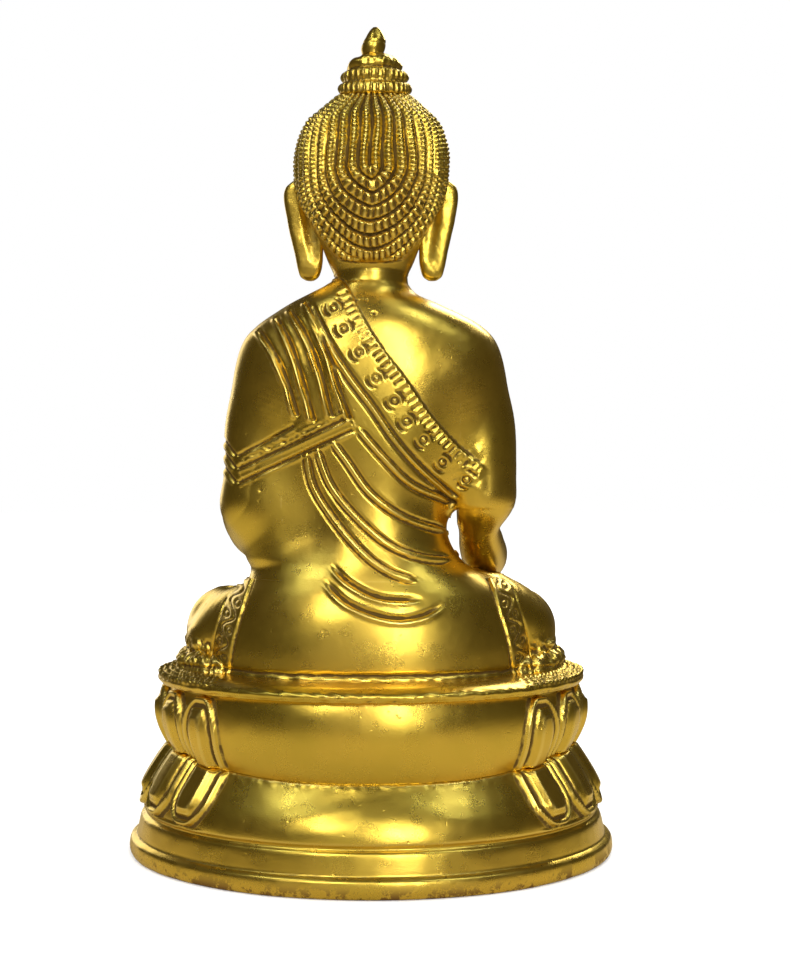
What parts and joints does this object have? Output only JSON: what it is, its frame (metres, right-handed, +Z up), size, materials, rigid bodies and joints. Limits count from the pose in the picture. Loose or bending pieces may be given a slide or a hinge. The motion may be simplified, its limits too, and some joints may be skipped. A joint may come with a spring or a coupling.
{
  "type": "seated buddha statue",
  "caption": "Seated cast-brass Buddha in the earth-touching pose on an oval double lotus pedestal, with an alms bowl in the lap.",
  "frame": {"origin": "centre of the pedestal's underside", "axes": "+Z up through the head, the figure faces -Y, +X towards the figure's left hand"},
  "size_m": [0.117, 0.0936, 0.2],
  "materials": {
    "brass": "satin polished casting with dark grime in the grooves",
    "dull_brass": "unpolished sheet",
    "steel": "plain"
  },
  "bodies": {
    "root": {"base_plate": "dull_brass", "lotus_base": "brass", "seat_drum": "brass", "seat_plate": "brass", "seat_bolts": "steel", "seat_washers": "steel", "legs": "brass", "torso": "brass", "right_arm": "brass", "left_arm": "brass", "alms_bowl": "brass", "head": "brass", "right_ear": "brass", "left_ear": "brass", "topknot": "brass", "finial": "brass"}
  },
  "joints": []
}
